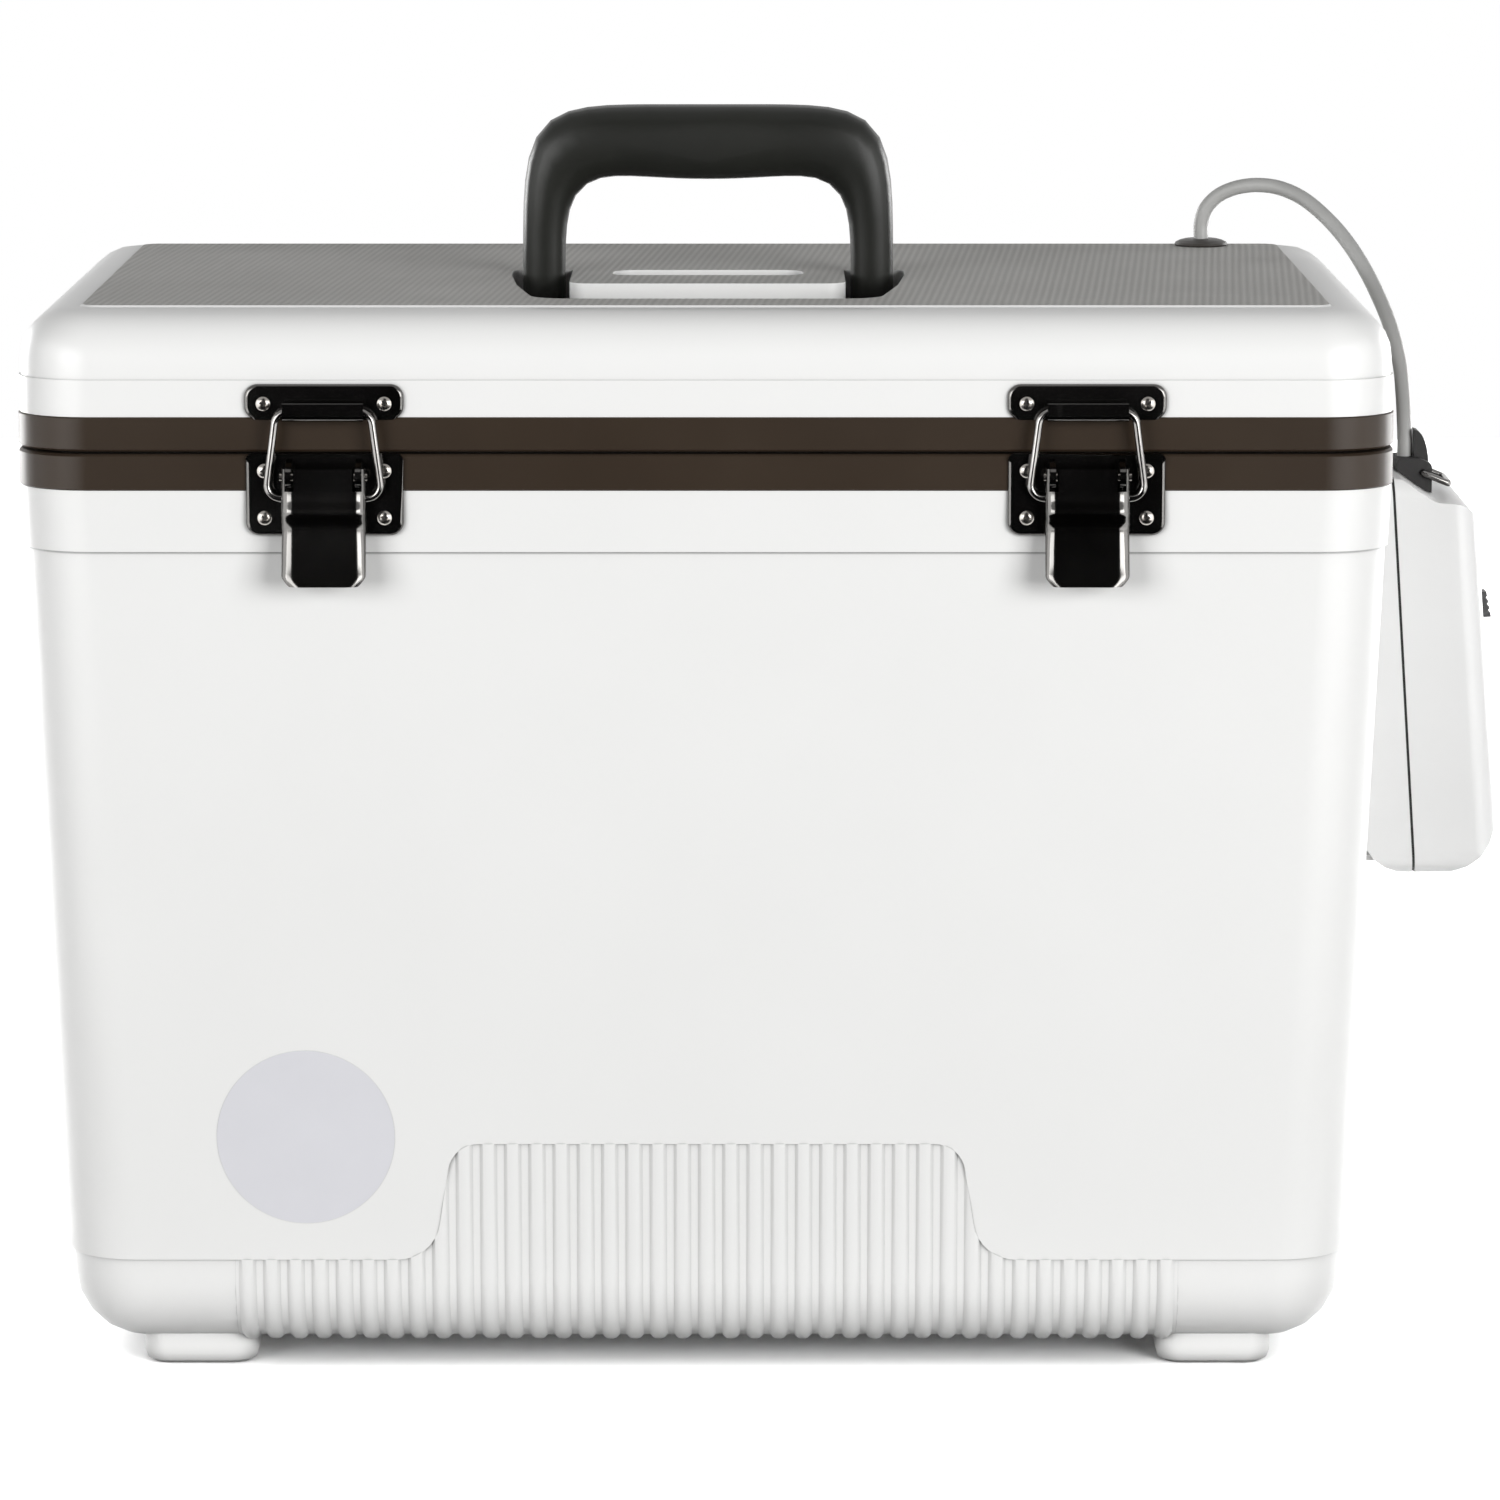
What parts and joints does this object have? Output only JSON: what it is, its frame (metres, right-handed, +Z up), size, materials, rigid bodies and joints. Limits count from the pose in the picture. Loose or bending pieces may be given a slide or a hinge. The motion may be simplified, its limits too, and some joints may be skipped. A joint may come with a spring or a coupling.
{
  "type": "aerated bait cooler box",
  "caption": "Hard insulated live-bait box with a hinged, latched, foam-filled lid, a fold-down handle and a side-hung battery air pump feeding a hose through the lid.",
  "frame": {"origin": "on the ground under the middle of the whole object's box, side pump and latches included", "axes": "+Z up, -Y towards the latches at the front, +X to the right, towards the air pump"},
  "size_m": [0.5337, 0.321, 0.4442],
  "materials": {
    "white_plastic": "moulded white plastic, slightly satin",
    "white_liner": "smooth white food-safe plastic",
    "foam": null,
    "brown_plastic": "dark brown moulded plastic",
    "hinge_steel": "rolled stainless steel",
    "black_nickel": "pressed steel with black-nickel finish",
    "bright_steel": "bright nickel-plated steel",
    "pump_plastic": "white moulded plastic",
    "dark_rubber": "black rubber",
    "pump_black": "black plastic",
    "motor_steel": "plain steel can",
    "battery_wrap": "plain blue battery jacket",
    "contact_steel": "spring steel",
    "stone": "porous sintered air stone",
    "grey_seal": "soft grey rubber",
    "handle_plastic": "dark olive-grey plastic",
    "hose_rubber": "grey silicone air hose"
  },
  "bodies": {
    "cooler": {"outer_shell": "white_plastic", "inner_liner": "white_liner", "foam_core": "foam", "body_collar": "brown_plastic", "hinge_body_leaves": "hinge_steel", "hinge_pins": "bright_steel", "latch_base_left": "black_nickel", "latch_base_right": "black_nickel", "latch_pins": "bright_steel", "body_screws": "bright_steel", "pump_bracket": "hinge_steel", "pump_back_shell": "pump_plastic", "pump_front_shell": "pump_plastic", "pump_seal": "dark_rubber", "pump_motor": "motor_steel", "pump_head": "pump_black", "batteries": "battery_wrap", "battery_contacts": "contact_steel", "hose_boot": "dark_rubber", "air_stone": "stone", "air_hose_outer": "hose_rubber", "air_hose_inner": "hose_rubber"},
    "lid": {"lid_shell": "white_plastic", "lid_collar": "brown_plastic", "lid_liner": "white_liner", "lid_foam": "foam", "lid_seal": "grey_seal", "hinge_lid_leaves": "hinge_steel", "strike_left": "black_nickel", "strike_right": "black_nickel", "lid_screws": "bright_steel", "hose_grommet": "dark_rubber", "hose_in_lid": "hose_rubber", "handle_pins": "bright_steel"},
    "handle": {"carry_handle": "handle_plastic"},
    "lever_left": {"latch_lever_left": "black_nickel"},
    "lever_right": {"latch_lever_right": "black_nickel"},
    "bail_left": {"latch_bail_left": "bright_steel"},
    "bail_right": {"latch_bail_right": "bright_steel"},
    "switch": {"pump_switch": "pump_black"},
    "clasp": {"pump_clasp": "bright_steel"}
  },
  "joints": [
    {"name": "lid_hinge", "type": "hinge", "parent": "cooler", "child": "lid", "pos_m": [-0.02587, 0.1565, 0.333], "axis": [-1, 0, 0], "range_deg": [0, 95], "deforming": ["air_hose_outer", "air_hose_inner"]},
    {"name": "handle_fold", "type": "hinge", "parent": "lid", "child": "handle", "pos_m": [-0.02587, 0.0032, 0.365], "axis": [1, 0, 0], "range_deg": [0, 90]},
    {"name": "lever_left", "type": "hinge", "parent": "cooler", "child": "lever_left", "pos_m": [-0.15817, -0.1529, 0.3255], "axis": [-1, 0, 0], "range_deg": [0, 105]},
    {"name": "lever_right", "type": "hinge", "parent": "cooler", "child": "lever_right", "pos_m": [0.10643, -0.1529, 0.3255], "axis": [-1, 0, 0], "range_deg": [0, 105]},
    {"name": "bail_left", "type": "hinge", "parent": "lever_left", "child": "bail_left", "pos_m": [-0.15817, -0.1513, 0.3178], "axis": [-1, 0, 0], "range_deg": [-82, 0]},
    {"name": "bail_right", "type": "hinge", "parent": "lever_right", "child": "bail_right", "pos_m": [0.10643, -0.1513, 0.3178], "axis": [-1, 0, 0], "range_deg": [-82, 0]},
    {"name": "switch_slide", "type": "slide", "parent": "cooler", "child": "switch", "axis": [-0.0767, 0, 0.9971], "range_m": [0, 0.008]},
    {"name": "clasp_swing", "type": "hinge", "parent": "cooler", "child": "clasp", "pos_m": [0.24013, 0.0332, 0.306], "axis": [0, -1, 0], "range_deg": [0, 70]}
  ],
  "couplings": [
    {"joint": "bail_left", "follows": "lever_left", "ratio": -0.78},
    {"joint": "bail_right", "follows": "lever_right", "ratio": -0.78}
  ]
}
